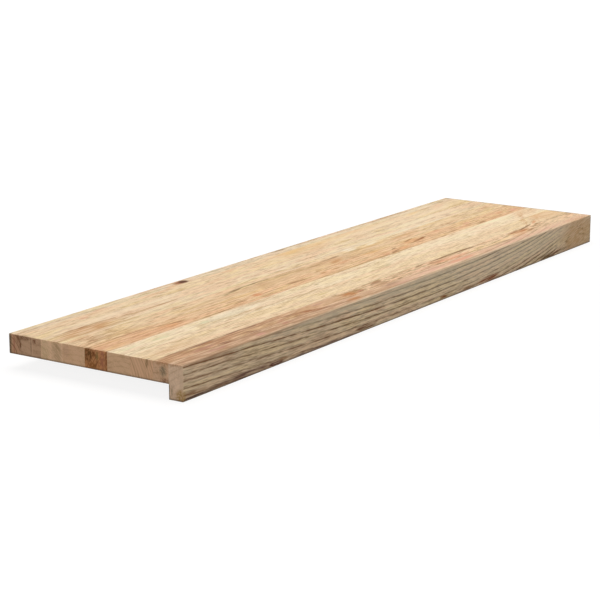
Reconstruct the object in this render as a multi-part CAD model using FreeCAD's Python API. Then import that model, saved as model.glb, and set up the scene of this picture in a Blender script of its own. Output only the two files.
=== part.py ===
"""Stair tread: a board of edge-glued oak staves with a deeper nosing strip glued to its front edge.

Millimetres. X runs along the tread, Y from its front to its back, and Z up.
The origin is midway along the length and the depth, at the level of the nosing's underside.
"""

import FreeCAD, Part

import os

# Overall sizes of the finished tread
length = 860.0
depth = 213.0
board_thickness = 20.0

# The nosing strip runs up to the walking surface, so its height is that of the front face
nosing_height = 35.0
nosing_thickness = 16.5

# The glued panel is ripped to width along both sides. The ripped stave behind the nosing has a set
# width, full staves follow, and the ripped stave at the back edge takes what is left of the depth.
front_stave_width = 18.0
stave_width = 27.5
# Ripping leaves no thinner sliver than this at the back edge: there the back stave is wider instead
narrowest_back_stave = 5.0

# The outer arrises are eased with sandpaper after the glue-up, and the glue lines stay flush
arris_radius = 0.5

# Places that follow from the sizes above
left_end = -length / 2
front_face = -depth / 2
back_edge = depth / 2
nosing_back = front_face + nosing_thickness
board_underside = nosing_height - board_thickness

# How far a dividing cut runs past the tread, and how closely two points must agree to be one place
cut_margin = 5.0
same_place = 1e-6


def point(y, z):
    """A point of the left end's plane."""
    return FreeCAD.Vector(left_end, y, z)


def tread_section():
    """The L-shaped section of board and nosing, as a face at the left end."""
    corners = [
        point(front_face, 0),
        point(nosing_back, 0),
        point(nosing_back, board_underside),
        point(back_edge, board_underside),
        point(back_edge, nosing_height),
        point(front_face, nosing_height),
    ]
    return Part.Face(Part.makePolygon(corners + corners[:1]))


def is_inner_corner(edge):
    """True for the long inner corner between the board's underside and the nosing's back."""
    inner_corner = FreeCAD.Vector(0, nosing_back, board_underside)
    return (edge.CenterOfMass - inner_corner).Length < same_place


def sanded_tread():
    """The whole tread in one solid: its section run to length, with every outer arris eased."""
    sharp_tread = tread_section().extrude(FreeCAD.Vector(length, 0, 0))
    outer_arrises = [edge for edge in sharp_tread.Edges if not is_inner_corner(edge)]
    return sharp_tread.makeFillet(arris_radius, outer_arrises)


def stave_glue_lines():
    """The Y of each glue line between two staves, from front to back."""
    lines = [nosing_back + front_stave_width]
    while lines[-1] + stave_width + narrowest_back_stave <= back_edge:
        lines.append(lines[-1] + stave_width)
    return lines


def piece_between(tread, front, back):
    """The part of the tread between two planes across its depth."""
    slab_corner = FreeCAD.Vector(left_end - cut_margin, front, -cut_margin)
    slab_length = length + 2 * cut_margin
    slab_height = nosing_height + 2 * cut_margin
    slab = Part.makeBox(slab_length, back - front, slab_height, slab_corner)
    return tread.common(slab).removeSplitter()


def tread_pieces():
    """Every piece by name: the nosing strip, then the board's staves from front to back."""
    tread = sanded_tread()
    lines = stave_glue_lines()
    pieces = {
        "nosing_strip": piece_between(tread, front_face - cut_margin, nosing_back),
        "front_stave": piece_between(tread, nosing_back, lines[0]),
    }
    for number, (front, back) in enumerate(zip(lines, lines[1:]), start=1):
        pieces[f"stave_{number}"] = piece_between(tread, front, back)
    pieces["back_stave"] = piece_between(tread, lines[-1], back_edge + cut_margin)
    return pieces


def main():
    os.makedirs("parts", exist_ok=True)
    for name, shape in tread_pieces().items():
        box = shape.BoundBox
        print(
            f"{name}: {box.XLength:.1f} x {box.YLength:.1f} x {box.ZLength:.1f} mm,"
            f" {len(shape.Solids)} solid, {shape.Volume / 1000:.1f} cm3, valid {shape.isValid()}"
        )
        shape.exportStep(f"parts/{name}.step")


main()
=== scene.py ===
# Stair tread in untreated, sanded oak: staves glued edge to edge, with a deeper nosing strip in front.
# Places on the wood are in mm: along from the left end, across from the front face, up from the floor.

import math

import bpy
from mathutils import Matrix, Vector


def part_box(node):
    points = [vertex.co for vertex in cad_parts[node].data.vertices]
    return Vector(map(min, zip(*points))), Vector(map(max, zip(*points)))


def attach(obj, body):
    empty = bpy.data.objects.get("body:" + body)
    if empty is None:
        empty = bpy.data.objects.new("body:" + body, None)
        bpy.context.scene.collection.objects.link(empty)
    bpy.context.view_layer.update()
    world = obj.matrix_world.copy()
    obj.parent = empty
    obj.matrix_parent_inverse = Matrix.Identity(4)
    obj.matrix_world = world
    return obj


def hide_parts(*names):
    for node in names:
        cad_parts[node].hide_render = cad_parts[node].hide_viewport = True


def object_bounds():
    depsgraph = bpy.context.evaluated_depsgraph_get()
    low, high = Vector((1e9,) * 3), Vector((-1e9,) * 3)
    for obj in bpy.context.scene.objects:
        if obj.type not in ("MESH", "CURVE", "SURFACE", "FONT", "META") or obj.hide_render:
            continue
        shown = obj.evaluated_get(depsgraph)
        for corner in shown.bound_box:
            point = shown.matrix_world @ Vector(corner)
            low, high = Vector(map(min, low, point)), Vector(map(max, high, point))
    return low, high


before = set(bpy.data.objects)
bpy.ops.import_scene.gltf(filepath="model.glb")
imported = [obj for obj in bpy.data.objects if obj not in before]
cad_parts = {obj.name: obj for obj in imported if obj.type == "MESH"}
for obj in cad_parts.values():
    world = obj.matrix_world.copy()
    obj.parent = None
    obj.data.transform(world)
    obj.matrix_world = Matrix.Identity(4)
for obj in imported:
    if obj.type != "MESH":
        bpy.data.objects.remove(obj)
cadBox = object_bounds()

mm = 0.001
treadLength, treadDepth, treadHeight = (cadBox[1] - cadBox[0]) / mm
toTread = (treadLength / 2, treadDepth / 2, 0)  # from the row's origin to the left end's front corner
print(f"frame loaded: tread {treadLength:.0f} x {treadDepth:.0f} x {treadHeight:.0f} mm")


def linearColour(hexCode):
    channels = [int(hexCode[i : i + 2], 16) / 255 for i in (0, 2, 4)]
    return [c / 12.92 if c <= 0.04045 else ((c + 0.055) / 1.055) ** 2.4 for c in channels] + [1.0]


# Adds a node, sets it and links it. Gives its first output in use, and .node leads back to the node.
def addNode(tree, kind, inputs=None, **settings):
    node = tree.nodes.new(kind)
    for name, value in settings.items():
        setattr(node, name, value)
    for key, value in (inputs or {}).items():
        socket = node.inputs[key] if isinstance(key, int) else usedSocket(node.inputs, key)
        if isinstance(value, bpy.types.NodeSocket):
            tree.links.new(value, socket)
        else:
            socket.default_value = value
    return usedSocket(node.outputs) if len(node.outputs) else node


def usedSocket(sockets, name=None):
    return next(s for s in sockets if s.enabled and name in (None, s.name))


noiseMiddle = 0.5  # noise runs from 0 to 1 and swings about this
colourMix = {"data_type": "RGBA", "clamp_factor": True}  # settings of the nodes that mix colours

# How growth lines look in oak, which every piece shares
growthLines = {
    "wanderLength": (240.0, 45.0, 45.0),  # mm over which a growth line strays
    "wanderDetail": 4.0,
    "wanderRoughness": 0.6,
    "upShare": -0.6,  # the way round the rings is taken as the mm across and this share of those up
    "weakestYear": 0.4,  # years differ: the faintest growth line against the strongest
    "pastLast": 0.1,  # what is left of the growth lines where they have faded
    # How dark a line is over one ring: open pored wood first, then the dense rest of the year
    "profile": [
        (0.0, 1.0),
        (0.07, 1.0),
        (0.17, 0.5),
        (0.34, 0.14),
        (0.78, 0.0),
        (0.94, 0.4),
        (1.0, 1.0),
    ],
}


def addPolynomial(tree, t, terms):
    value = terms[-1]
    for term in reversed(terms[:-1]):
        value = addNode(tree, "ShaderNodeMath", {0: t, 1: value, 2: term}, operation="MULTIPLY_ADD")
    return value


# Gives the ring number at a place, which is whole on the growth lines, and the grain's own directions:
# along the tread, out through the rings and round them, all in mm.
def addGrowthField(tree, place, growth):
    along, across, up = addNode(tree, "ShaderNodeSeparateXYZ", {"Vector": place}).node.outputs
    t = addNode(tree, "ShaderNodeMath", {0: along, 1: treadLength}, operation="DIVIDE")

    # The pith strays across and up in long waves, so the rings wander along the tread
    spread = addNode(
        tree,
        "ShaderNodeVectorMath",
        {0: place, 1: [1 / size for size in growthLines["wanderLength"]], 2: growth["seedShift"]},
        operation="MULTIPLY_ADD",
    )
    stray = addNode(
        tree,
        "ShaderNodeTexNoise",
        {
            "Vector": spread,
            "Scale": 1.0,
            "Detail": growthLines["wanderDetail"],
            "Roughness": growthLines["wanderRoughness"],
        },
    )
    stray = addNode(
        tree,
        "ShaderNodeVectorMath",
        {0: stray.node.outputs["Color"], 1: [noiseMiddle] * 3},
        operation="SUBTRACT",
    )
    pith = addNode(
        tree,
        "ShaderNodeCombineXYZ",
        {
            "Y": addPolynomial(tree, t, growth["pithAcross"]),
            "Z": addPolynomial(tree, t, growth["pithUp"]),
        },
    )
    flat = addNode(tree, "ShaderNodeCombineXYZ", {"Y": across, "Z": up})
    fromPith = addNode(tree, "ShaderNodeVectorMath", {0: flat, 1: pith}, operation="SUBTRACT")
    strayScale = addNode(
        tree, "ShaderNodeMath", {0: growth["wander"], 1: 1 / noiseMiddle}, operation="MULTIPLY"
    )
    strayed = addNode(tree, "ShaderNodeVectorMath", {0: stray, "Scale": strayScale}, operation="SCALE")
    strayed = addNode(tree, "ShaderNodeVectorMath", {0: strayed, 1: (0, 1, 1)}, operation="MULTIPLY")
    fromPith = addNode(tree, "ShaderNodeVectorMath", {0: fromPith, 1: strayed}, operation="ADD")

    # Rings are counted outwards from the pith's distance
    radius = addNode(tree, "ShaderNodeVectorMath", {0: fromPith}, operation="LENGTH")
    radius = usedSocket(radius.node.outputs, "Value")
    outward = addNode(
        tree, "ShaderNodeMath", {0: radius, 1: growth["pithDistance"]}, operation="SUBTRACT"
    )
    ringWidth = addPolynomial(tree, t, growth["ringWidth"])
    ring = addNode(tree, "ShaderNodeMath", {0: outward, 1: ringWidth}, operation="DIVIDE")

    acrossRings = addNode(
        tree, "ShaderNodeMath", {0: ring, 1: growth["ringWidth"][0]}, operation="MULTIPLY"
    )
    roundRings = addNode(
        tree,
        "ShaderNodeMath",
        {0: up, 1: growthLines["upShare"], 2: across},
        operation="MULTIPLY_ADD",
    )
    flow = addNode(tree, "ShaderNodeCombineXYZ", {"X": along, "Y": acrossRings, "Z": roundRings})
    return ring, flow


# How far a place is into a growth line, 0 to 1: uneven from year to year, and faint past the last one
def addGrowthLine(tree, place, ring, fadeFrom, fadeTo):
    year = addNode(tree, "ShaderNodeMath", {0: ring}, operation="FLOOR")
    strength = addNode(tree, "ShaderNodeTexWhiteNoise", {"W": year}, noise_dimensions="1D")
    strength = addNode(
        tree,
        "ShaderNodeMapRange",
        {"Value": strength, "To Min": growthLines["weakestYear"], "To Max": 1.0},
    )
    along = addNode(tree, "ShaderNodeSeparateXYZ", {"Vector": place})
    last = addNode(
        tree,
        "ShaderNodeMapRange",
        {
            "Value": along,
            "From Min": fadeFrom,
            "From Max": fadeTo,
            "To Min": 1.0,
            "To Max": growthLines["pastLast"],
        },
    )
    strength = addNode(tree, "ShaderNodeMath", {0: strength, 1: last}, operation="MULTIPLY")
    part = addNode(tree, "ShaderNodeMath", {0: ring}, operation="FRACT")
    curve = addNode(tree, "ShaderNodeFloatCurve", {"Value": part})
    points = curve.node.mapping.curves[0].points
    profile = growthLines["profile"]
    for x, y in profile[1:-1]:
        points.new(x, y)
    points[0].location = profile[0]
    points[len(points) - 1].location = profile[-1]
    curve.node.mapping.update()
    return addNode(tree, "ShaderNodeMath", {0: curve, 1: strength}, operation="MULTIPLY")


# One sawn, glued and sanded piece. The bar's outer arrises are rounded and its glued sides stay flat.
sawnPiece = {
    "arrisRadius": 0.5,
    "arrisCells": 2,
    "cell": (3.0, 0.8, 1.6),  # mm: long cells, because the relief runs with the grain
    "nosingCell": (3.0, 0.55, 0.55),
    "relief": 0.05,  # depth in mm that sanding leaves in the open pored wood
    "nosingRelief": 0.16,
    "creaseAngle": math.radians(40),
    "mergeDistance": 0.001 * mm,  # far under any cell
}
treeInputs = [
    ("Lowest corner", "NodeSocketVector"),
    ("Highest corner", "NodeSocketVector"),
    ("Cell size", "NodeSocketVector"),
    ("Arris radius", "NodeSocketFloat"),
    ("Arris cells", "NodeSocketFloat"),
    ("Front is outside", "NodeSocketFloat"),
    ("Back is outside", "NodeSocketFloat"),
    ("Back is outside below", "NodeSocketFloat"),
    ("Relief depth", "NodeSocketFloat"),
    ("Pith across", "NodeSocketVector"),
    ("Pith up", "NodeSocketVector"),
    ("Pith up flare", "NodeSocketFloat"),
    ("Pith distance", "NodeSocketFloat"),
    ("Ring width", "NodeSocketVector"),
    ("Wander", "NodeSocketFloat"),
    ("Seed shift", "NodeSocketVector"),
    ("Lines fade from", "NodeSocketFloat"),
    ("Lines fade to", "NodeSocketFloat"),
    ("Oak", "NodeSocketMaterial"),
]


def makeBarTree():
    tree = bpy.data.node_groups.new("sawn oak bar", "GeometryNodeTree")
    tree.interface.new_socket("Geometry", in_out="OUTPUT", socket_type="NodeSocketGeometry")
    for name, kind in treeInputs:
        tree.interface.new_socket(name, in_out="INPUT", socket_type=kind)
    given = addNode(tree, "NodeGroupInput").node.outputs

    size = addNode(
        tree,
        "ShaderNodeVectorMath",
        {0: given["Highest corner"], 1: given["Lowest corner"]},
        operation="SUBTRACT",
    )
    cells = addNode(tree, "ShaderNodeVectorMath", {0: size, 1: given["Cell size"]}, operation="DIVIDE")
    cells = addNode(tree, "ShaderNodeVectorMath", {0: cells}, operation="CEIL")
    arrisCells = given["Arris cells"]
    edgeCells = addNode(tree, "ShaderNodeMath", {0: arrisCells, 1: 2.0}, operation="MULTIPLY")
    cells = addNode(tree, "ShaderNodeVectorMath", {0: cells, 1: edgeCells}, operation="ADD")
    counts = addNode(tree, "ShaderNodeVectorMath", {0: cells, 1: (1, 1, 1)}, operation="ADD")
    counts = addNode(tree, "ShaderNodeSeparateXYZ", {"Vector": counts}).node.outputs
    block = addNode(
        tree,
        "GeometryNodeMeshCube",
        {
            "Size": (1, 1, 1),
            "Vertices X": counts["X"],
            "Vertices Y": counts["Y"],
            "Vertices Z": counts["Z"],
        },
    )

    # Every vertex counts its cells from the lowest corner. The first and the last few are the arrises.
    place = addNode(tree, "GeometryNodeInputPosition")
    place = addNode(tree, "ShaderNodeVectorMath", {0: place, 1: (0.5, 0.5, 0.5)}, operation="ADD")
    place = addNode(tree, "ShaderNodeVectorMath", {0: place, 1: cells}, operation="MULTIPLY")
    radius = given["Arris radius"]
    twice = addNode(tree, "ShaderNodeMath", {0: radius, 1: 2.0}, operation="MULTIPLY")
    middleSize = addNode(tree, "ShaderNodeVectorMath", {0: size, 1: twice}, operation="SUBTRACT")
    lastArris = addNode(tree, "ShaderNodeVectorMath", {0: cells, 1: arrisCells}, operation="SUBTRACT")
    sharp = given["Lowest corner"]
    for start, end, reach in (
        ((0, 0, 0), arrisCells, radius),
        (arrisCells, lastArris, middleSize),
        (lastArris, cells, radius),
    ):
        step = addNode(
            tree,
            "ShaderNodeMapRange",
            {6: place, 7: start, 8: end, 9: (0, 0, 0), 10: reach},  # the sockets of the vector form
            data_type="FLOAT_VECTOR",
            clamp=True,
        )
        sharp = addNode(tree, "ShaderNodeVectorMath", {0: sharp, 1: step}, operation="ADD")

    # A core box gives the arrises their round: it is one radius inside the outer faces, and past the
    # glued ones
    up = addNode(tree, "ShaderNodeSeparateXYZ", {"Vector": sharp}).node.outputs["Z"]
    low = addNode(
        tree, "ShaderNodeMath", {0: up, 1: given["Back is outside below"]}, operation="LESS_THAN"
    )
    backInset = addNode(
        tree, "ShaderNodeMath", {0: low, 1: given["Back is outside"]}, operation="MULTIPLY"
    )
    insets = []
    for outside in (given["Front is outside"], backInset):
        inset = addNode(tree, "ShaderNodeMath", {0: outside, 1: 2.0, 2: -1.0}, operation="MULTIPLY_ADD")
        across = addNode(tree, "ShaderNodeMath", {0: inset, 1: radius}, operation="MULTIPLY")
        insets.append(addNode(tree, "ShaderNodeCombineXYZ", {"X": radius, "Y": across, "Z": radius}))
    coreLow = addNode(
        tree, "ShaderNodeVectorMath", {0: given["Lowest corner"], 1: insets[0]}, operation="ADD"
    )
    coreHigh = addNode(
        tree, "ShaderNodeVectorMath", {0: given["Highest corner"], 1: insets[1]}, operation="SUBTRACT"
    )
    core = addNode(tree, "ShaderNodeVectorMath", {0: sharp, 1: coreLow}, operation="MAXIMUM")
    core = addNode(tree, "ShaderNodeVectorMath", {0: core, 1: coreHigh}, operation="MINIMUM")
    outward = addNode(tree, "ShaderNodeVectorMath", {0: sharp, 1: core}, operation="SUBTRACT")
    outward = addNode(tree, "ShaderNodeVectorMath", {0: outward}, operation="NORMALIZE")
    reach = addNode(tree, "ShaderNodeVectorMath", {0: outward, "Scale": radius}, operation="SCALE")
    eased = addNode(tree, "ShaderNodeVectorMath", {0: core, 1: reach}, operation="ADD")

    pithAcross = addNode(tree, "ShaderNodeSeparateXYZ", {"Vector": given["Pith across"]}).node.outputs
    pithUp = addNode(tree, "ShaderNodeSeparateXYZ", {"Vector": given["Pith up"]}).node.outputs
    ringWidth = addNode(tree, "ShaderNodeSeparateXYZ", {"Vector": given["Ring width"]}).node.outputs
    growth = {
        "pithAcross": pithAcross[:2],
        "pithUp": [*pithUp, given["Pith up flare"]],
        "pithDistance": given["Pith distance"],
        "ringWidth": ringWidth[:],
        "wander": given["Wander"],
        "seedShift": given["Seed shift"],
    }
    ring, flow = addGrowthField(tree, eased, growth)
    line = addGrowthLine(tree, eased, ring, given["Lines fade from"], given["Lines fade to"])
    depth = addNode(tree, "ShaderNodeMath", {0: line, 1: given["Relief depth"]}, operation="MULTIPLY")
    inward = addNode(tree, "ShaderNodeVectorMath", {0: outward, "Scale": depth}, operation="SCALE")
    worn = addNode(tree, "ShaderNodeVectorMath", {0: eased, 1: inward}, operation="SUBTRACT")
    placed = addNode(tree, "ShaderNodeVectorMath", {0: worn, 1: toTread}, operation="SUBTRACT")
    placed = addNode(tree, "ShaderNodeVectorMath", {0: placed, "Scale": mm}, operation="SCALE")
    bar = addNode(tree, "GeometryNodeSetPosition", {"Geometry": block, "Position": placed})
    # Along the glued sides the arris has no round, so its cells fall together there and are merged
    bar = addNode(
        tree, "GeometryNodeMergeByDistance", {"Geometry": bar, "Distance": sawnPiece["mergeDistance"]}
    )

    bend = addNode(tree, "GeometryNodeInputMeshEdgeAngle")
    isCrease = addNode(
        tree, "FunctionNodeCompare", {0: bend, 1: sawnPiece["creaseAngle"]}, operation="GREATER_THAN"
    )
    bar = addNode(
        tree,
        "GeometryNodeSetShadeSmooth",
        {"Geometry": bar, "Selection": isCrease, "Shade Smooth": False},
        domain="EDGE",
    )
    bar = addNode(tree, "GeometryNodeRealizeInstances", {"Geometry": bar})
    bar = addNode(tree, "GeometryNodeSetMaterial", {"Geometry": bar, "Material": given["Oak"]})
    addNode(tree, "NodeGroupOutput", {"Geometry": bar})
    return tree


seedStep = (1.7, 2.3, 3.1)  # how far each seed moves a noise from the one before


def seedShift(seed):
    return [seed * step for step in seedStep]


def makeBar(name, wood, oak):
    lowest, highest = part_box(name)
    lowest = lowest / mm + Vector(toTread)
    highest = highest / mm + Vector(toTread)
    isNosing = name == "nosing_strip"
    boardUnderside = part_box("front_stave")[0].z / mm
    values = {
        "Lowest corner": lowest,
        "Highest corner": highest,
        "Cell size": sawnPiece["nosingCell" if isNosing else "cell"],
        "Arris radius": sawnPiece["arrisRadius"],
        "Arris cells": sawnPiece["arrisCells"],
        "Front is outside": float(isNosing),
        "Back is outside": float(isNosing or name == "back_stave"),
        "Back is outside below": boardUnderside if isNosing else treadHeight + 1,  # or all the way up
        "Relief depth": sawnPiece["nosingRelief" if isNosing else "relief"],
        "Pith across": (*wood["pithAcross"], 0),
        "Pith up": wood["pithUp"][:3],
        "Pith up flare": wood["pithUp"][3],
        "Pith distance": wood["pithDistance"],
        "Ring width": wood["ringWidth"],
        "Wander": wood["wander"],
        "Seed shift": seedShift(wood["seed"]),
        "Lines fade from": wood["linesFade"][0],
        "Lines fade to": wood["linesFade"][1],
        "Oak": oak,
    }
    maker = bpy.data.objects.new(name + "_maker", bpy.data.meshes.new(name + "_maker"))
    bpy.context.scene.collection.objects.link(maker)
    modifier = maker.modifiers.new("sawn oak bar", "NODES")
    modifier.node_group = barTree
    for item in barTree.interface.items_tree:
        if item.in_out == "INPUT":
            modifier[item.identifier] = values[item.name]
    graph = bpy.context.evaluated_depsgraph_get()
    mesh = bpy.data.meshes.new_from_object(maker.evaluated_get(graph))
    bpy.data.objects.remove(maker)
    piece = bpy.data.objects.new(name + "_oak", mesh)
    bpy.context.scene.collection.objects.link(piece)
    return piece


# What shows between the growth lines: length with the grain and width in mm, then fineness of detail
grainSizes = {
    "broad": (60.0, 4.5, 2.0),
    "fine": (27.0, 1.8, 2.0),
    "fibre": (13.0, 1.2, 2.0),
    "tint": (70.0, 10.0, 1.0),
    "pores": (7.0, 0.6, 2.0),  # oak's pores are nearer 0.3 mm wide, drawn coarser so that they show
    "feather": (26.0, 4.0, 2.0),
}
# The surface that every piece shares. Pairs give where a thing starts and where it is there in full.
bareOak = {
    "tints": {"pink": ("ffe2d4", 0.47, 0.63), "straw": ("fff7ce", 0.5, 0.36)},  # multiply the colour
    "wholeLine": (0.3, 0.6),  # levels of the fine streaks between which a growth line gains strength
    "weakLine": 0.7,
    "endStreaks": {"tint": 1.2, "fine": 1.2},
    "endMiddle": 0.45,  # under the noise's own middle, so that end grain leans to its dark colour
    "endSlope": (0.55, 0.85),  # how squarely a face looks along the tread
    "markEdge": (1.15, 0.35),  # shares of a mark's half size
    "markStreaks": (0.36, 0.6),  # levels of the fine streaks, and a mark's strength at them
    "markStrength": (0.4, 1.05),
    "markStray": (30.0, 3.6, 3.0),  # mm in which the outlines of marks move about
    "shortMark": 10.0,  # mm of half length
    # painted shade along the lower arrises: its colour, strength, height band and the downward faces it
    # takes
    "paintedShadeColour": "54432f",
    "paintedShade": 0.68,
    "paintedShadeHeight": (0.6, 2.3),  # mm above the underside
    "paintedShadeSlope": (-0.95, -0.7),  # of faces that look down
    "poreColour": "a87c4c",
    "poreStrength": 0.4,
    "poreLevel": (0.66, 0.55),  # levels of the pores' noise between the growth lines and on them
    "poreCrowd": 0.6,  # how far into a growth line the pores are crowded
    "poreEdge": 0.06,
    "poreDepth": -1.6,  # against the height of the fibres
    "roughness": 0.66,
    "linesRougher": 0.12,
    "bumpStrength": 0.5,
    "bumpHeight": 0.12,  # mm
    "refraction": 1.5,
    "specular": 0.2,
}


def addGrainNoise(tree, flow, kind, seed):
    length, width, detail = grainSizes[kind]
    stretched = addNode(
        tree,
        "ShaderNodeVectorMath",
        {0: flow, 1: (1 / length, 1 / width, 1 / width), 2: seedShift(seed)},
        operation="MULTIPLY_ADD",
    )
    return addNode(tree, "ShaderNodeTexNoise", {"Vector": stretched, "Scale": 1.0, "Detail": detail})


# A stain, streak, knot or painted shade: a soft ellipsoid in the wood, which is turned in the plane of
# its own face
def addMark(tree, colour, place, streaks, mark):
    centre, halfSize, turn, hexCode, strength = mark
    onFront = centre[1] == 0
    angle = math.radians(turn)
    local = addNode(
        tree,
        "ShaderNodeMapping",
        {
            "Vector": place,
            "Location": centre,
            "Rotation": (0, -angle, 0) if onFront else (0, 0, angle),
            "Scale": halfSize,
        },
        vector_type="TEXTURE",
    )
    reach = addNode(tree, "ShaderNodeVectorMath", {0: local}, operation="LENGTH")
    reach = usedSocket(reach.node.outputs, "Value")
    rim, full = bareOak["markEdge"]
    cover = addNode(
        tree,
        "ShaderNodeMapRange",
        {"Value": reach, "From Min": rim, "From Max": full, "To Max": strength},
        interpolation_type="SMOOTHSTEP",
    )
    cover = addNode(tree, "ShaderNodeMath", {0: cover, 1: streaks}, operation="MULTIPLY")
    return addNode(
        tree, "ShaderNodeMix", {"Factor": cover, "A": colour, "B": linearColour(hexCode)}, **colourMix
    )


# Oak, planed and sanded to about 120 grit and left bare: dry, matt wood with a faint silky sheen on
# the dense wood, open pores that read as short dark dashes, and darker end grain.
def makeOak(name, wood):
    seed = wood["seed"]
    growth = dict(wood, seedShift=seedShift(seed))
    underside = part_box(name)[0].z / mm
    material = bpy.data.materials.new(f"bare sanded oak, {name.replace('_', ' ')}")
    material.use_nodes = True
    tree = material.node_tree
    tree.nodes.clear()

    coordinates = addNode(tree, "ShaderNodeTexCoord").node.outputs
    place = addNode(
        tree,
        "ShaderNodeMapping",
        {"Vector": coordinates["Object"], "Location": toTread, "Scale": (1 / mm, 1 / mm, 1 / mm)},
    )
    ring, flow = addGrowthField(tree, place, growth)
    line = addGrowthLine(tree, place, ring, *wood["linesFade"])
    noises = {}
    for number, kind in enumerate(grainSizes):
        noises[kind] = addGrainNoise(tree, flow, kind, seed + number)

    # Faces: growth lines, broken up by the streaks between them
    start, full = bareOak["wholeLine"]
    broken = addNode(
        tree,
        "ShaderNodeMapRange",
        {
            "Value": noises["fine"],
            "From Min": start,
            "From Max": full,
            "To Min": wood["lines"] * bareOak["weakLine"],
            "To Max": wood["lines"],
        },
    )
    shade = addNode(
        tree, "ShaderNodeMath", {0: line, 1: broken, 2: wood["depth"]}, operation="MULTIPLY_ADD"
    )
    for kind, share in zip(("broad", "fine", "fibre"), wood["streaks"]):
        swing = addNode(tree, "ShaderNodeMath", {0: noises[kind], 1: noiseMiddle}, operation="SUBTRACT")
        shade = addNode(
            tree, "ShaderNodeMath", {0: swing, 1: share, 2: shade}, operation="MULTIPLY_ADD"
        )
    colour = addNode(
        tree,
        "ShaderNodeMix",
        {"Factor": shade, "A": linearColour(wood["light"]), "B": linearColour(wood["dark"])},
        **colourMix,
    )
    for hexCode, start, full in bareOak["tints"].values():
        cover = addNode(
            tree,
            "ShaderNodeMapRange",
            {"Value": noises["tint"], "From Min": start, "From Max": full, "To Max": wood["tints"]},
        )
        colour = addNode(
            tree,
            "ShaderNodeMix",
            {"Factor": cover, "A": colour, "B": linearColour(hexCode)},
            blend_type="MULTIPLY",
            **colourMix,
        )

    # End grain: the same rings as arcs, and a darker, drier tone
    shade = addNode(tree, "ShaderNodeMath", {0: line, 1: wood["endLines"]}, operation="MULTIPLY")
    middle = bareOak["endMiddle"]
    for kind, share in bareOak["endStreaks"].items():
        swing = addNode(tree, "ShaderNodeMath", {0: noises[kind], 1: middle}, operation="SUBTRACT")
        shade = addNode(
            tree, "ShaderNodeMath", {0: swing, 1: share, 2: shade}, operation="MULTIPLY_ADD"
        )
    endGrain = addNode(
        tree,
        "ShaderNodeMix",
        {"Factor": shade, "A": linearColour(wood["endLight"]), "B": linearColour(wood["endDark"])},
        **colourMix,
    )
    normal = addNode(tree, "ShaderNodeSeparateXYZ", {"Vector": coordinates["Normal"]}).node.outputs
    start, full = bareOak["endSlope"]
    isEnd = addNode(tree, "ShaderNodeMath", {0: normal["X"]}, operation="ABSOLUTE")
    isEnd = addNode(tree, "ShaderNodeMapRange", {"Value": isEnd, "From Min": start, "From Max": full})
    colour = addNode(
        tree, "ShaderNodeMix", {"Factor": isEnd, "A": colour, "B": endGrain}, **colourMix
    )

    # Marks run out in streaks along the grain, and their outlines stray. Short ones, as those on an
    # end face are, keep their place.
    stray = bareOak["markStray"]
    strayed = addNode(
        tree,
        "ShaderNodeVectorMath",
        {
            0: noises["feather"].node.outputs["Color"],
            1: stray,
            2: [-noiseMiddle * size for size in stray],
        },
        operation="MULTIPLY_ADD",
    )
    markPlace = addNode(tree, "ShaderNodeVectorMath", {0: place, 1: strayed}, operation="ADD")
    start, full = bareOak["markStreaks"]
    weakest, strongest = bareOak["markStrength"]
    streaks = addNode(
        tree,
        "ShaderNodeMapRange",
        {
            "Value": noises["fine"],
            "From Min": start,
            "From Max": full,
            "To Min": weakest,
            "To Max": strongest,
        },
    )
    for mark in wood["marks"]:
        isShort = mark[1][0] < bareOak["shortMark"]
        colour = addMark(tree, colour, place if isShort else markPlace, streaks, mark)
    for knot in wood.get("knots", []):
        colour = addMark(tree, colour, place, 1.0, knot)

    # Painted shade darkens the lower arrises, which face down; the faces below them stay as they are
    up = addNode(tree, "ShaderNodeSeparateXYZ", {"Vector": place}).node.outputs["Z"]
    lowest, highest = bareOak["paintedShadeHeight"]
    lowArrisShade = addNode(
        tree,
        "ShaderNodeMapRange",
        {
            "Value": up,
            "From Min": underside + lowest,
            "From Max": underside + highest,
            "To Min": bareOak["paintedShade"],
            "To Max": 0.0,
        },
    )
    start, full = bareOak["paintedShadeSlope"]
    above = addNode(
        tree, "ShaderNodeMapRange", {"Value": normal["Z"], "From Min": start, "From Max": full}
    )
    paintedShade = addNode(tree, "ShaderNodeMath", {0: lowArrisShade, 1: above}, operation="MULTIPLY")
    colour = addNode(
        tree,
        "ShaderNodeMix",
        {"Factor": paintedShade, "A": colour, "B": linearColour(bareOak["paintedShadeColour"])},
        **colourMix,
    )

    # Pores crowd the growth lines and thin out between them
    between, crowded = bareOak["poreLevel"]
    level = addNode(
        tree,
        "ShaderNodeMapRange",
        {"Value": line, "From Max": bareOak["poreCrowd"], "To Min": between, "To Max": crowded},
    )
    full = addNode(tree, "ShaderNodeMath", {0: level, 1: bareOak["poreEdge"]}, operation="ADD")
    pores = addNode(
        tree,
        "ShaderNodeMapRange",
        {
            "Value": noises["pores"],
            "From Min": level,
            "From Max": full,
            "To Max": bareOak["poreStrength"],
        },
    )
    colour = addNode(
        tree,
        "ShaderNodeMix",
        {"Factor": pores, "A": colour, "B": linearColour(bareOak["poreColour"])},
        **colourMix,
    )

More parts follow.
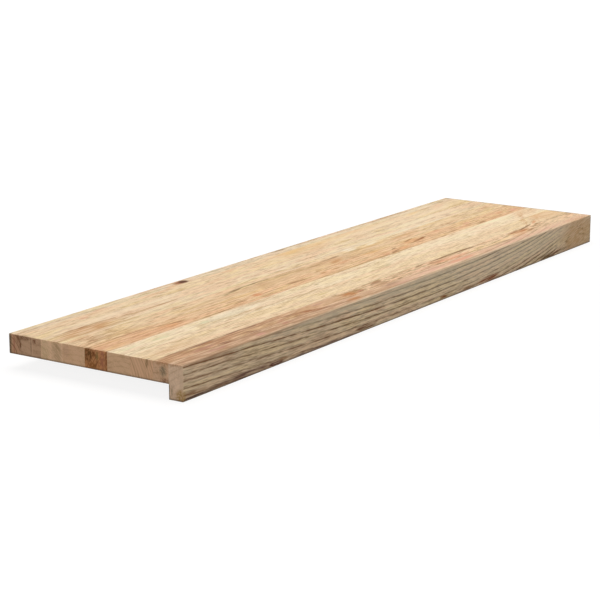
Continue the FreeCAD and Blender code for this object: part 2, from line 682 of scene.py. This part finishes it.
    roughness = addNode(
        tree,
        "ShaderNodeMath",
        {0: line, 1: bareOak["linesRougher"], 2: bareOak["roughness"]},
        operation="MULTIPLY_ADD",
    )
    height = addNode(
        tree,
        "ShaderNodeMath",
        {0: pores, 1: bareOak["poreDepth"], 2: noises["fibre"]},
        operation="MULTIPLY_ADD",
    )
    bump = addNode(
        tree,
        "ShaderNodeBump",
        {
            "Height": height,
            "Strength": bareOak["bumpStrength"],
            "Distance": bareOak["bumpHeight"] * mm,
        },
    )
    surface = addNode(
        tree,
        "ShaderNodeBsdfPrincipled",
        {
            "Base Color": colour,
            "Roughness": roughness,
            "IOR": bareOak["refraction"],
            "Specular IOR Level": bareOak["specular"],
            "Normal": bump,
        },
    )
    addNode(tree, "ShaderNodeOutputMaterial", {"Surface": surface})
    return material


barTree = makeBarTree()


def makePiece(name, wood):
    piece = makeBar(name, wood, makeOak(name, wood))
    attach(piece, "root")
    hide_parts(name)
    print(f"{name}: {len(piece.data.vertices)} vertices")


# One dictionary for each piece. The pith is where its rings are centred, as terms of a polynomial of
# the way along, 0 to 1, and so is the ring width, which leaves the ring at pithDistance in its place.
# wander is how far the rings stray in mm, and linesFade where along the tread they grow faint.
# light and dark are the colours of its dense and its open pored wood, depth how far its usual tone is
# from light to dark, and lines, streaks and tints how strongly those show. A mark is a place, its half
# size, its turn in degrees, a colour and a strength.
noFade = (treadLength, treadLength + 1)  # past the far end

nosingStrip = {
    "pithAcross": (-67.0, 0.0),
    "pithUp": (-101.0, -40.3, -27.4, 88.5),
    "pithDistance": 150.0,
    "ringWidth": (5.9, 1.56, -4.56),
    "wander": 1.9,
    "seed": 3.0,
    "linesFade": (752.0, 784.0),
    "light": "f8e0bc",
    "dark": "6f4926",
    "depth": 0.14,
    "lines": 1.32,
    "streaks": (0.4, 1.2, 1.6),
    "tints": 0.3,
    "endLight": "e6c6a8",
    "endDark": "c09e7e",
    "endLines": 0.5,
    "marks": [
        ((548, 16, 35), (80, 3, 2.5), 0, "ecc4a6", 0.8),
        ((48, 7, 35), (44, 8, 2.5), 0, "9c7656", 0.6),
        ((425, 6.5, 35.4), (743, 30, 3), 0, "deb494", 0.85),
        ((104, 8.1, 35), (303, 18, 3.4), 0, "ae825e", 0.8),
        ((375, 8, 35), (66, 9, 2.5), 0, "b98d66", 0.5),
        ((64, 9, 35), (17, 3, 2.5), 0, "bc8474", 0.7),
        ((88, 14.6, 35), (13, 2, 2.5), 5, "8a5c40", 0.9),
        ((30, 12, 35), (20, 3, 2.5), 0, "b98a64", 0.6),
        ((135, 7, 35), (9, 4.5, 2.5), 0, "cf9686", 0.7),
        ((141, 15.5, 35), (11, 1.8, 2.5), -4, "8c5c3c", 1.0),
        ((188, 12, 35), (10, 4.5, 2.5), 0, "bd8068", 0.7),
        ((243, 17.5, 35), (27, 3.2, 2.5), -11, "a0653a", 1.1),
        ((230, 10, 35), (40, 2, 2.5), -6, "a87c58", 0.6),
        ((312, 9, 35), (17, 4, 2.5), 0, "bf804c", 1.0),
        ((389, 12, 35), (23, 5, 2.5), 0, "b0866a", 0.9),
        ((409, 6, 35), (38, 3.4, 2.5), 0, "cf9f8c", 0.6),
        ((441, 1.8, 35), (13, 1.8, 2.5), 0, "93755c", 0.8),
        ((475, 10, 35), (36, 5, 2.5), 0, "dfa993", 0.6),
        ((545, 11, 35), (44, 5, 2.5), 0, "e3a385", 0.9),
        ((640, 14.8, 35), (36, 1.5, 2.5), 0, "a67c54", 0.9),
        ((700, 7.7, 35), (147, 4, 2.5), 0, "e2b09a", 0.5),
        ((828, 6.8, 35), (39, 8, 2.5), 0, "dba88a", 0.6),
        ((430, 1.2, 35), (520, 3.2, 1.6), 0, "ab9270", 0.5),
        ((90, 0, 18), (220, 4, 34), 0, "9c7c60", 0.3),
        ((620, 0, 26), (260, 4, 20), 0, "fff0d2", 0.34),
        ((330, 0, 31.5), (230, 3, 6.5), 0, "decdaf", 0.72),
        ((315, 0, 3.3), (20, 5, 3.2), 0, "704626", 1.1),
        ((481, 0, 4), (11, 5, 2.6), 3, "8a5426", 1.0),
        ((537, 0, 3), (14, 5, 2.2), 0, "8a6038", 0.7),
        ((589, 0, 4.3), (31, 5, 4.6), 0, "8a4e2a", 1.2),
        ((741, 0, 3.3), (27, 5, 3.6), 0, "6b4c20", 1.1),
        ((776, 0, 4.9), (37, 5, 2), 3, "6e4828", 1.1),
        ((825, 0, 18), (59, 9, 26), 0, "cfa474", 0.9),
        ((793, 0, 14.1), (12, 5, 3), 24, "9a7748", 0.9),
        ((830, 0, 23.8), (16, 5, 1.4), -24, "a67c50", 0.8),
        ((836, 0, 15), (16, 5, 1.4), -14, "a67c50", 0.7),
        ((860, 0, 17), (2.2, 4, 30), 0, "6a5844", 0.9),
        ((20, 0, 5.6), (26, 5, 2.4), 0, "8a5f3c", 0.9),
        ((98, 0, 3.6), (60, 5, 4), 0, "745442", 1.0),
        ((20, 0, 1.6), (50, 5, 1.8), 0, "60463a", 1.0),
        ((153, 0, 2.4), (14, 5, 2.6), 2, "5c2c1c", 1.4),
        ((165, 0, 4.6), (9, 5, 1.8), 0, "8f5f34", 0.9),
        ((230, 0, 1.6), (76, 5, 2.2), 0, "6f5650", 0.8),
        ((0, 0, 17), (1.6, 4, 30), 0, "dcbd9e", 0.8),
        ((0, 2.8, 5.3), (6, 7, 8), 0, "a98348", 0.9),
        # painted shade: a dark line down the end face at the nosing's back arris
        ((0, 16.4, 7.3), (4, 1.8, 14), 0, "6b604c", 1.0),
        ((0, 12.8, 9), (4, 0.8, 7), 0, "8f7860", 0.7),
    ],
}
makePiece("nosing_strip", nosingStrip)

frontStave = {
    "pithAcross": (17.9, 14.0),
    "pithUp": (-26.0, 8.0, 0.0, 0.0),
    "pithDistance": 0.0,
    "ringWidth": (5.2, 0.0, 0.0),
    "wander": 5.0,
    "seed": 11.0,
    "linesFade": noFade,
    "light": "f4d6b1",
    "dark": "a6845a",
    "depth": 0.16,
    "lines": 0.6,
    "streaks": (1.4, 2.4, 4.0),
    "tints": 0.4,
    "endLight": "dcb491",
    "endDark": "a8815e",
    "endLines": 0.3,
    "marks": [
        ((86, 27, 35), (24, 6, 3), 0, "9a6a46", 0.9),
        ((284, 28, 35), (26, 9, 3), 0, "e6c6a6", 0.9),
        ((442, 27, 35), (26, 7, 3), 0, "e6c49e", 0.6),
        ((812, 26, 35), (36, 8, 3), 0, "efd4ac", 0.6),
        ((95, 24.6, 35), (293, 17, 4), 0, "b07e56", 0.85),
        ((270, 25, 35), (62, 10, 3), 0, "d9ab80", 0.5),
        ((100, 32.7, 35), (106, 1.9, 2.5), 0, "8b6242", 1.0),
        ((62, 31, 35), (30, 1.2, 2.5), 3, "7d5434", 0.8),
        ((27, 20, 35), (16, 5, 2.5), 0, "b9845c", 0.7),
        ((61, 20.7, 35), (25, 4, 2.5), 0, "b5806a", 0.6),
        ((88, 17.2, 35), (13, 2.2, 2.5), 6, "8c5c40", 1.0),
        ((140, 20, 35), (14, 2.8, 2.5), -22, "8f5e3c", 0.9),
        ((148, 31, 35), (12, 1.4, 2.5), 0, "7f5636", 0.9),
        ((188, 19.5, 35), (11, 4.5, 2.5), 0, "bd8068", 0.7),
        ((213, 24, 35), (14, 2.5, 2.5), -14, "9c6c44", 0.8),
        ((243, 18.5, 35), (27, 3.2, 2.5), -11, "a0653a", 1.1),
        ((262, 27, 35), (12, 2.6, 2.5), 0, "c08a78", 0.7),
        ((322, 24, 35), (18, 7, 3), 0, "bf804c", 1.0),
        ((312, 33, 35), (10, 1.4, 2.5), 0, "8f6844", 0.9),
        ((344, 23, 35), (9, 2.6, 3), 0, "c18068", 0.7),
        ((385, 28, 35), (16, 6, 3), 0, "a87c56", 0.95),
        ((389, 19, 35), (24, 4, 3), 0, "b48a68", 0.8),
        ((475, 20, 35), (36, 5, 2.5), 0, "e0ab90", 0.6),
        ((510, 27, 35), (22, 5, 2.5), 0, "b98058", 0.9),
        ((483, 32, 35), (16, 2, 2.5), 6, "8f6a40", 0.9),
        ((556, 32.2, 35), (62, 2.4, 2.5), 0, "8a6434", 1.2),
        ((587, 32.3, 35), (26, 2.6, 2.5), -2, "835a2c", 1.2),
        ((540, 22, 35), (46, 6, 2.5), 0, "e09f7c", 0.9),
        ((633, 30, 35), (17, 2, 2.5), 0, "bb9064", 0.8),
        ((640, 17.4, 35), (36, 1.4, 2.5), 0, "a67c54", 0.9),
        ((714, 27.4, 35), (26, 7, 4), 1, "c07c48", 1.1),
        ((705, 19, 35), (28, 4.5, 2.5), 0, "cd966c", 0.9),
        ((735, 21.4, 35), (20, 2.6, 2.5), 4, "a56c3c", 1.1),
        ((742, 33.4, 35), (28, 2.2, 2.5), 7, "7d5228", 1.3),
        ((707, 30.6, 35), (16, 2.2, 2.5), 0, "9a6435", 1.0),
        ((776, 33, 35), (12, 1.8, 2.5), 10, "a57840", 0.9),
        ((860, 24.6, 35), (4, 20, 2), 0, "a3907a", 0.8),
        ((0, 22.8, 26.4), (6, 5, 6.5), 0, "7d7058", 0.8),
        ((0, 21, 17.6), (6, 6, 3), 0, "7c5238", 0.8),
    ],
}
makePiece("front_stave", frontStave)

stave1 = {
    "pithAcross": (145.2, -18.0),
    "pithUp": (-10.0, 0.0, 0.0, 0.0),
    "pithDistance": 0.0,
    "ringWidth": (3.1, 0.0, 0.0),
    "wander": 3.5,
    "seed": 23.0,
    "linesFade": noFade,
    "light": "f8e0bb",
    "dark": "c09c6e",
    "depth": 0.12,
    "lines": 0.7,
    "streaks": (0.9, 1.35, 2.6),
    "tints": 0.25,
    "endLight": "dfb38d",
    "endDark": "a47b57",
    "endLines": 0.6,
    "marks": [
        ((50, 45, 35), (62, 9, 3), 0, "d9ab7c", 0.45),
        ((100, 38.8, 35), (115, 1.6, 2.5), 0, "f4d3ae", 0.9),
        ((35, 45.6, 35), (32, 0.9, 2.5), 0, "cf9f74", 0.9),
        ((56, 53.6, 35), (59, 0.9, 2.5), 0, "d9ab88", 0.7),
        ((309, 48.5, 35), (13, 2.6, 2.5), 0, "dcc285", 0.7),
        ((410, 45.5, 35), (14, 2.4, 2.5), 0, "dfba88", 0.7),
        ((757, 35.8, 35), (14, 1.6, 2.5), 8, "8f5f2e", 1.1),
        ((779, 40, 35), (12, 3, 2.5), 30, "d98f5e", 0.8),
        ((815, 56, 35), (18, 7, 3), 0, "e6bc8c", 0.7),
        ((779, 53.7, 35), (43, 1.3, 2.5), 36, "cf9c68", 0.9),
        ((791, 65.4, 35), (43, 1.3, 2.5), 34, "cf9c68", 0.8),
        ((805, 49.8, 35), (39, 1.3, 2.5), 36, "cf9c68", 0.8),
        ((830, 47.9, 35), (43, 20, 5), 0, "e0b384", 0.7),
        ((860, 46.8, 35), (4, 30, 2), 0, "a3907a", 0.8),
        ((0, 42, 31.5), (6, 2.0, 6), -8, "7d5c34", 0.8),
    ],
}
makePiece("stave_1", stave1)

stave2 = {
    "pithAcross": (66.1, 16.0),
    "pithUp": (-42.0, 6.0, 0.0, 0.0),
    "pithDistance": 0.0,
    "ringWidth": (5.0, 0.0, 0.0),
    "wander": 4.0,
    "seed": 31.0,
    "linesFade": noFade,
    "light": "f9e5c4",
    "dark": "c6a473",
    "depth": 0.12,
    "lines": 0.4,
    "streaks": (0.9, 1.35, 2.6),
    "tints": 0.25,
    "endLight": "dcb48e",
    "endDark": "b9916d",
    "endLines": 0.3,
    "marks": [
        ((82, 84, 35), (24, 5, 3), 0, "dcc8a0", 0.45),
        ((190, 80, 35), (70, 9, 3), 0, "f9ecd0", 0.7),
        ((762, 86, 35), (52, 5, 3), 0, "f9ecc4", 0.85),
        ((23, 80, 35), (15, 3, 2.5), 0, "dfd6a8", 0.6),
        ((71, 78, 35), (13, 3.4, 2.5), 0, "d8cf9f", 0.7),
        ((142, 80.5, 35), (9, 4.5, 2.5), 0, "d9d3a8", 0.7),
        ((342, 78, 35), (5, 2, 2.5), 0, "b8985c", 0.9),
        ((465, 63, 35), (9, 2, 2.5), 0, "c9bc90", 0.7),
        ((801, 69.3, 35), (33, 1.3, 2.5), 34, "d3a272", 0.8),
        ((817, 77.2, 35), (33, 1.3, 2.5), 32, "d3a272", 0.7),
        ((831, 79.2, 35), (39, 10, 5), 0, "e6c096", 0.6),
        ((860, 73.8, 35), (4, 30, 2), 0, "a3907a", 0.8),
    ],
}
makePiece("stave_2", stave2)

stave3 = {
    "pithAcross": (56.5, -6.0),
    "pithUp": (-8.0, 6.0, 0.0, 0.0),
    "pithDistance": 0.0,
    "ringWidth": (4.2, 0.0, 0.0),
    "wander": 6.0,
    "seed": 47.0,
    "linesFade": noFade,
    "light": "f0cfa5",
    "dark": "bc8d62",
    "depth": 0.18,
    "lines": 0.45,
    "streaks": (1.0, 1.8, 3.0),
    "tints": 0.4,
    "endLight": "ca8c5a",
    "endDark": "673a13",
    "endLines": 0.5,
    "marks": [
        ((668, 112, 35), (34, 8, 3), 0, "ecc69c", 0.6),
        ((515, 103, 35), (22, 6, 3), 0, "d4a06c", 0.5),
        ((47, 101, 35), (107, 15, 5), 0, "dd9c74", 0.45),
        ((56, 113.6, 35), (59, 1.4, 2.5), 0, "b5855a", 0.8),
        ((112, 101, 35), (20, 6, 3), -8, "d6955f", 0.8),
        ((84, 111, 35), (16, 1.3, 2.5), 0, "a8744a", 0.9),
        ((107, 108, 35), (18, 1.7, 2.5), -10, "a8703f", 0.9),
        ((124, 103.6, 35), (15, 2.2, 2.5), -12, "a8703f", 0.9),
        ((176, 91.8, 35), (48, 1.6, 2.5), 0, "a0703f", 1.1),
        ((228, 99.5, 35), (16, 1.8, 2.5), 6, "a8743f", 0.9),
        ((267, 103.5, 35), (9, 5.5, 2.5), 0, "d98f60", 0.9),
        ((346, 102.6, 35), (27, 2.4, 2.5), 0, "b07a50", 1.0),
        ((334, 104.5, 35), (20, 1.8, 2.5), 0, "a06c42", 0.9),
        ((394, 103, 35), (7, 3, 2.5), 0, "c68a52", 0.8),
        ((418, 103, 35), (10, 2, 2.5), 0, "c0905c", 0.7),
        ((453, 115, 35), (13, 5, 3), 8, "d69c74", 0.8),
        ((475, 91.4, 35), (117, 3.4, 3), 0, "bd9462", 0.8),
        ((515, 115, 35), (22, 6, 3), 0, "dfae6c", 0.7),
        ((515, 93.5, 35), (11, 2.8, 2.5), 8, "d08f68", 0.9),
        ((537, 94.5, 35), (14, 2.4, 2.5), 16, "96683a", 1.0),
        ((545, 104, 35), (12, 1.8, 2.5), 12, "a06e40", 0.9),
        ((560, 97.5, 35), (18, 5, 2.5), 6, "db9c66", 0.8),
        ((593, 109, 35), (24, 8, 3), 6, "e3a975", 0.8),
        ((596, 114, 35), (15, 2, 2.5), 10, "a26c36", 1.0),
        ((607, 106, 35), (24, 2.4, 2.5), 10, "9c6230", 1.15),
        ((663, 114, 35), (12, 4.5, 2.5), 0, "dda27c", 0.7),
        ((674, 97, 35), (16, 2.6, 2.5), 0, "b48458", 0.9),
        ((707, 98.5, 35), (14, 3.6, 2.5), 0, "d69a74", 0.8),
        ((727, 106, 35), (12, 4.5, 2.5), 0, "e3a98c", 0.8),
        ((740, 93, 35), (12, 1.8, 2.5), 0, "9c7040", 1.0),
        ((776, 96.5, 35), (26, 3.6, 2.5), 0, "cf9c70", 0.7),
        ((808, 105, 35), (14, 5, 2.5), 6, "e0a47c", 0.7),
        ((838, 100, 35), (11, 5.5, 3), 6, "e39f88", 0.85),
        ((860, 100.8, 35), (4, 30, 2), 0, "a3907a", 0.8),
        ((0, 90.4, 25), (6, 2.4, 16), 0, "7c4c2c", 0.8),
        ((0, 95.5, 25), (6, 4.0, 16), 0, "a3684c", 0.9),
        ((0, 102, 29.5), (6, 2.6, 6), 0, "80673a", 0.9),
        ((0, 112.6, 29), (6, 7, 9), 0, "66401a", 1.1),
        ((0, 106, 30), (6, 3, 5), 0, "6e3d16", 0.9),
        ((0, 108, 19), (6, 5, 4), 0, "7c4a14", 0.9),
    ],
}
makePiece("stave_3", stave3)

stave4 = {
    "pithAcross": (127.9, 10.0),
    "pithUp": (-90.0, 12.0, 0.0, 0.0),
    "pithDistance": 0.0,
    "ringWidth": (5.2, 0.0, 0.0),
    "wander": 4.0,
    "seed": 59.0,
    "linesFade": noFade,
    "light": "f0d5ad",
    "dark": "ba926b",
    "depth": 0.18,
    "lines": 0.4,
    "streaks": (1.0, 1.8, 3.0),
    "tints": 0.4,
    "endLight": "e0b690",
    "endDark": "bd956b",
    "endLines": 0.3,
    "marks": [
        ((728, 134, 35), (48, 9, 3), 0, "f3d6aa", 0.85),
        ((70, 124, 35), (36, 7, 3), 0, "cb9a66", 0.35),
        ((370, 128, 35), (200, 12, 4), 0, "c79a68", 0.35),
        ((387, 123.1, 35), (322, 10, 4), 0, "dcb287", 0.5),
        ((131, 139, 35), (14, 3, 2.5), 0, "cbb080", 0.6),
        ((176, 137, 35), (17, 2, 2.5), 0, "a37e4c", 1.0),
        ((260, 132.6, 35), (26, 2, 2.5), 9, "94703f", 0.95),
        ((276, 135.6, 35), (20, 2, 2.5), 4, "7f5d34", 1.1),
        ((304, 137, 35), (26, 1.8, 2.5), 0, "8b6a40", 1.0),
        ((326, 135.8, 35), (12, 1.5, 2.5), -8, "9a7a4c", 0.9),
        ((353, 133, 35), (24, 1.6, 2.5), 0, "b08c5c", 0.8),
        ((407, 130, 35), (38, 2.4, 2.5), 0, "bb9464", 0.8),
        ((458, 134.5, 35), (28, 3, 2.5), 2, "b08a62", 0.9),
        ((464, 136.4, 35), (22, 1.6, 2), 4, "9c7248", 0.8),
        ((455, 124, 35), (20, 8, 3), 8, "cc915f", 0.8),
        ((363, 141, 35), (88, 2.2, 2.5), 0, "f3dfbc", 0.7),
        ((517, 137, 35), (16, 1.6, 2.5), 0, "a88a60", 0.9),
        ((512, 141, 35), (12, 2.4, 2.5), 0, "fbf0dc", 1.1),
        ((557, 141, 35), (16, 3, 2.5), 0, "f8ead0", 0.9),
        ((583, 133.4, 35), (107, 4, 2.5), 0, "d2a470", 0.7),
        ((822, 131, 35), (15, 5, 3), 12, "cfae78", 0.7),
        ((860, 128.8, 35), (4, 30, 2), 0, "a3907a", 0.8),
        ((0, 140, 28), (6, 5, 8), 0, "c79b80", 0.5),
    ],
}
makePiece("stave_4", stave4)

stave5 = {
    "pithAcross": (187.7, 20.0),
    "pithUp": (-60.0, 12.0, 0.0, 0.0),
    "pithDistance": 0.0,
    "ringWidth": (4.6, 0.0, 0.0),
    "wander": 4.5,
    "seed": 67.0,
    "linesFade": noFade,
    "light": "f2dcb9",
    "dark": "be9973",
    "depth": 0.12,
    "lines": 0.4,
    "streaks": (0.8, 1.5, 2.6),
    "tints": 0.4,
    "endLight": "ecc49e",
    "endDark": "bc9873",
    "endLines": 0.2,
    "marks": [
        ((722, 165, 35), (100, 7, 3), 0, "fae8c8", 0.7),
        ((52, 158, 35), (66, 12, 3), 2, "c58a50", 0.8),
        ((57, 168.2, 35), (56, 1.9, 2.5), 0, "b07c4c", 1.0),
        ((156, 161.6, 35), (54, 2.4, 2.5), 0, "bd8f5e", 0.95),
        ((76, 149.5, 35), (88, 3, 2.5), 0, "c79a68", 0.6),
        ((383, 151, 35), (14, 2, 2.5), 0, "f6e0c4", 0.7),
        ((498, 149.5, 35), (22, 3, 2.5), 0, "c9b090", 0.5),
        ((512, 146, 35), (14, 1.8, 2.5), 0, "fbf0dc", 0.9),
        ((583, 150, 35), (156, 6, 3), 0, "f6e6c6", 0.5),
        ((681, 148, 35), (88, 2.2, 2.5), 0, "f8e8cc", 0.8),
        ((761, 157, 35), (14, 3, 2.5), 0, "d3ad90", 0.6),
        ((818, 150.5, 35), (8, 3, 2.5), 0, "c0a474", 0.8),
        ((860, 155.8, 35), (4, 30, 2), 0, "a3907a", 0.8),
        ((0, 152, 25), (6, 8, 16), 0, "ab8a66", 0.55),
        ((0, 167, 25), (6, 7, 14), 0, "c9ab80", 0.6),
    ],
}
makePiece("stave_5", stave5)

stave6 = {
    "pithAcross": (168.4, 30.0),
    "pithUp": (100.0, 10.0, 0.0, 0.0),
    "pithDistance": 0.0,
    "ringWidth": (5.6, 0.0, 0.0),
    "wander": 5.0,
    "seed": 79.0,
    "linesFade": noFade,
    "light": "f1d8b3",
    "dark": "bd986b",
    "depth": 0.12,
    "lines": 0.35,
    "streaks": (0.8, 1.5, 2.6),
    "tints": 0.4,
    "endLight": "c6a080",
    "endDark": "916c4e",
    "endLines": 0.3,
    "marks": [
        ((155, 177, 35), (130, 7, 3), 0, "fae8ca", 0.65),
        ((690, 186, 35), (190, 13, 3), 0, "fbe6c6", 0.5),
        ((482, 190, 35), (62, 13, 3), 0, "dfb87e", 0.5),
        ((87, 190.5, 35), (9, 3, 2.5), 0, "dfa584", 0.9),
        ((344, 195, 35), (12, 4.5, 2.5), 0, "e0b488", 0.7),
        ((417, 183.6, 35), (59, 4, 3), 0, "eed29e", 0.5),
        ((436, 180, 35), (9, 3.4, 2.5), 10, "dfb888", 0.7),
        ((462, 193, 35), (24, 7, 2.5), 6, "e8c182", 0.7),
        ((554, 195.8, 35), (147, 9, 3), 0, "ecc68c", 0.5),
        ((741, 194, 35), (22, 5, 2.5), 6, "f2cf98", 0.7),
        ((806, 194, 35), (18, 6, 2.5), 6, "eec8a4", 0.7),
        ((860, 183.8, 35), (4, 30, 2), 0, "a3907a", 0.8),
        ((0, 180.5, 31), (6, 3, 3.6), 0, "74492c", 0.8),
        ((0, 184.6, 27), (6, 0.8, 10), 0, "6f5240", 0.8),
        ((0, 183.2, 25), (6, 0.7, 12), 0, "d3ac8c", 0.9),
        ((0, 193, 33), (6, 9, 3.2), 0, "7c5638", 0.8),
        ((0, 198.4, 27), (6, 1.8, 7), 0, "6a4428", 1.0),
    ],
}
makePiece("stave_6", stave6)

backStave = {
    "pithAcross": (226.2, -12.0),
    "pithUp": (6.0, 0.0, 0.0, 0.0),
    "pithDistance": 0.0,
    "ringWidth": (5.0, 0.0, 0.0),
    "wander": 4.0,
    "seed": 83.0,
    "linesFade": noFade,
    "light": "eed9bb",
    "dark": "b5996c",
    "depth": 0.12,
    "lines": 0.4,
    "streaks": (0.8, 1.5, 2.6),
    "tints": 0.4,
    "endLight": "c39675",
    "endDark": "71502f",
    "endLines": 0.6,
    "marks": [
        ((782, 205, 35), (30, 6, 3), 0, "f8e4c2", 0.8),
        ((248, 200.5, 35), (12, 4, 4), 0, "e2b07a", 0.8),
        ((286, 200.7, 35), (20, 5.4, 4), 0, "e6b888", 0.5),
        ((123, 200.1, 35), (14, 3, 3), 0, "e4b08c", 0.8),
        ((177, 200, 35), (7, 3, 2.5), 0, "ecbc9c", 0.7),
        ((232, 210, 35), (14, 2.4, 2.5), 0, "cfa983", 0.7),
        ((340, 209.5, 35), (17, 2.4, 2.5), 0, "b0a080", 0.7),
        ((460, 209.5, 35), (17, 2.6, 2.5), 0, "a28a70", 0.8),
        ((584, 213.7, 35), (322, 1.6, 2), 0, "a08a68", 0.8),
        ((860, 203.1, 35), (4, 30, 2), 0, "a3907a", 0.8),
        ((0, 201, 31), (6, 2.4, 5), 0, "6a4428", 0.9),
        ((0, 206.5, 24), (6, 1.2, 14), 0, "a0604a", 0.8),
        ((0, 212.2, 24.8), (4, 3, 30), 0, "6a5a44", 1.1),
    ],
    "knots": [
        ((265, 205.6, 35), (11.5, 6.2, 6), 0, "9a5f38", 0.9),
        ((271.5, 205.8, 35), (8, 5.8, 6), 0, "522808", 1.35),
    ],
}
makePiece("back_stave", backStave)


# The lamps and the camera stand in metres, in the frame's own axes
studio = {
    "bearing": 33.858,  # degrees from along the tread towards its back, in which the camera looks
    "tilt": -13.701,
    "camera": (-1.7917, -1.1499, 0.5148),
    "lens": 116.148,  # mm
    "sensorWidth": 36.0,
    "softboxSize": 2.6,
    "softboxPlace": (0.35, 0.25, 2.4),
    "softboxPower": 67.0,
    "fillSize": 1.6,
    "fillPlace": (-2.6, -1.9, 0.9),
    "fillPower": 36.0,
    "skyLight": 0.06,
    "floorSize": 14.0,
    "floorColour": "bcbab8",
    "floorShadow": 0.35,  # how much of the floor's own shading shows in its white, near the tread
    "floorGlow": 1.33,
    "shadowReach": (0.55, 1.1),  # from the middle, over which that shading fades out
}


def lookAlong(direction):
    return direction.to_track_quat("-Z", "Y").to_euler()


def makeCamera():
    bearing = math.radians(studio["bearing"])
    tilt = math.radians(studio["tilt"])
    direction = Vector(
        (math.cos(bearing) * math.cos(tilt), math.sin(bearing) * math.cos(tilt), math.sin(tilt))
    )
    lens = bpy.data.cameras.new("camera")
    lens.lens = studio["lens"]
    lens.sensor_width = studio["sensorWidth"]
    camera = bpy.data.objects.new("camera", lens)
    camera.location = studio["camera"]
    camera.rotation_euler = lookAlong(direction)
    bpy.context.scene.collection.objects.link(camera)
    bpy.context.scene.camera = camera


def makeLight():
    for name in ("softbox", "fill"):
        light = bpy.data.lights.new(name, "AREA")
        light.shape = "SQUARE"
        light.size = studio[name + "Size"]
        light.energy = studio[name + "Power"]
        lamp = bpy.data.objects.new(name, light)
        lamp.location = studio[name + "Place"]
        lamp.rotation_euler = lookAlong(-lamp.location)
        bpy.context.scene.collection.objects.link(lamp)

    world = bpy.data.worlds.new("studio")
    bpy.context.scene.world = world
    world.use_nodes = True
    tree = world.node_tree
    tree.nodes.clear()
    seen = addSeenRay(tree)
    strength = addNode(
        tree, "ShaderNodeMapRange", {"Value": seen, "To Min": studio["skyLight"], "To Max": 1.0}
    )
    sky = addNode(tree, "ShaderNodeBackground", {"Strength": strength})
    addNode(tree, "ShaderNodeOutputWorld", {"Surface": sky})


# 1 for what the camera sees, also in a gloss or through glass, and 0 for the light on things
def addSeenRay(tree):
    rays = addNode(tree, "ShaderNodeLightPath").node.outputs
    seen = rays["Is Camera Ray"]
    for kind in ("Is Glossy Ray", "Is Transmission Ray"):
        seen = addNode(tree, "ShaderNodeMath", {0: seen, 1: rays[kind]}, operation="MAXIMUM")
    return seen


# Matt studio paper: it lights the tread from below as pale paper does, and looks white but for the
# shadow
def makeFloor():
    half = studio["floorSize"] / 2
    corners = [(-half, -half, 0), (half, -half, 0), (half, half, 0), (-half, half, 0)]
    mesh = bpy.data.meshes.new("floor")
    mesh.from_pydata(corners, [], [(0, 1, 2, 3)])
    floor = bpy.data.objects.new("floor", mesh)
    bpy.context.scene.collection.objects.link(floor)
    material = bpy.data.materials.new("matt studio paper")
    material.use_nodes = True
    tree = material.node_tree
    tree.nodes.clear()
    place = addNode(tree, "ShaderNodeTexCoord").node.outputs["Object"]
    away = addNode(tree, "ShaderNodeVectorMath", {0: place}, operation="LENGTH")
    near, far = studio["shadowReach"]
    shadow = addNode(
        tree,
        "ShaderNodeMapRange",
        {
            "Value": away,
            "From Min": near,
            "From Max": far,
            "To Min": studio["floorShadow"],
            "To Max": 0.0,
        },
    )
    paper = addNode(tree, "ShaderNodeBsdfDiffuse", {"Color": linearColour(studio["floorColour"])})
    glow = addNode(tree, "ShaderNodeEmission", {"Strength": studio["floorGlow"]})
    white = addNode(tree, "ShaderNodeMixShader", {0: shadow, 1: glow, 2: paper})
    surface = addNode(tree, "ShaderNodeMixShader", {0: addSeenRay(tree), 1: paper, 2: white})
    addNode(tree, "ShaderNodeOutputMaterial", {"Surface": surface})
    mesh.materials.append(material)


makeFloor()
makeLight()
makeCamera()
bpy.context.scene.view_settings.view_transform = "Standard"
print("studio ready")
